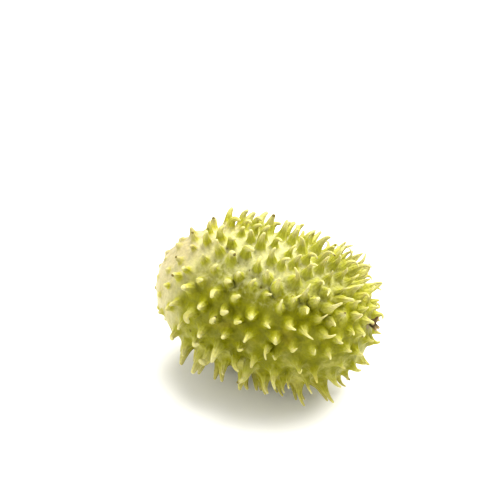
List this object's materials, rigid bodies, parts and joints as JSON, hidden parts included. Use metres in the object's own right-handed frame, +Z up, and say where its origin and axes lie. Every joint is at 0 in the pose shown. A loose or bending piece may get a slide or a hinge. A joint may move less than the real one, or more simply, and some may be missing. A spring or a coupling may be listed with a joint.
{
  "type": "west indian gherkin",
  "caption": "Small egg-shaped green fruit with blunt ends, covered in soft hooked spines, pale at the stalk end, with a withered flower at the other end. It lies on its side.",
  "frame": {"origin": "middle of the bounding box's bottom, on the surface that the fruit lies on", "axes": "+X along the fruit from the stalk end to the blossom end, +Z up"},
  "size_m": [0.0564, 0.0432, 0.0414],
  "materials": {
    "gherkin_skin": "soft, waxy, slightly translucent fruit skin, yellow-green with cream stalk end",
    "withered_flower": "dry, matt, crumpled brown plant tissue"
  },
  "bodies": {
    "root": {"fruit": "gherkin_skin", "flower_remnant": "withered_flower"}
  },
  "joints": []
}
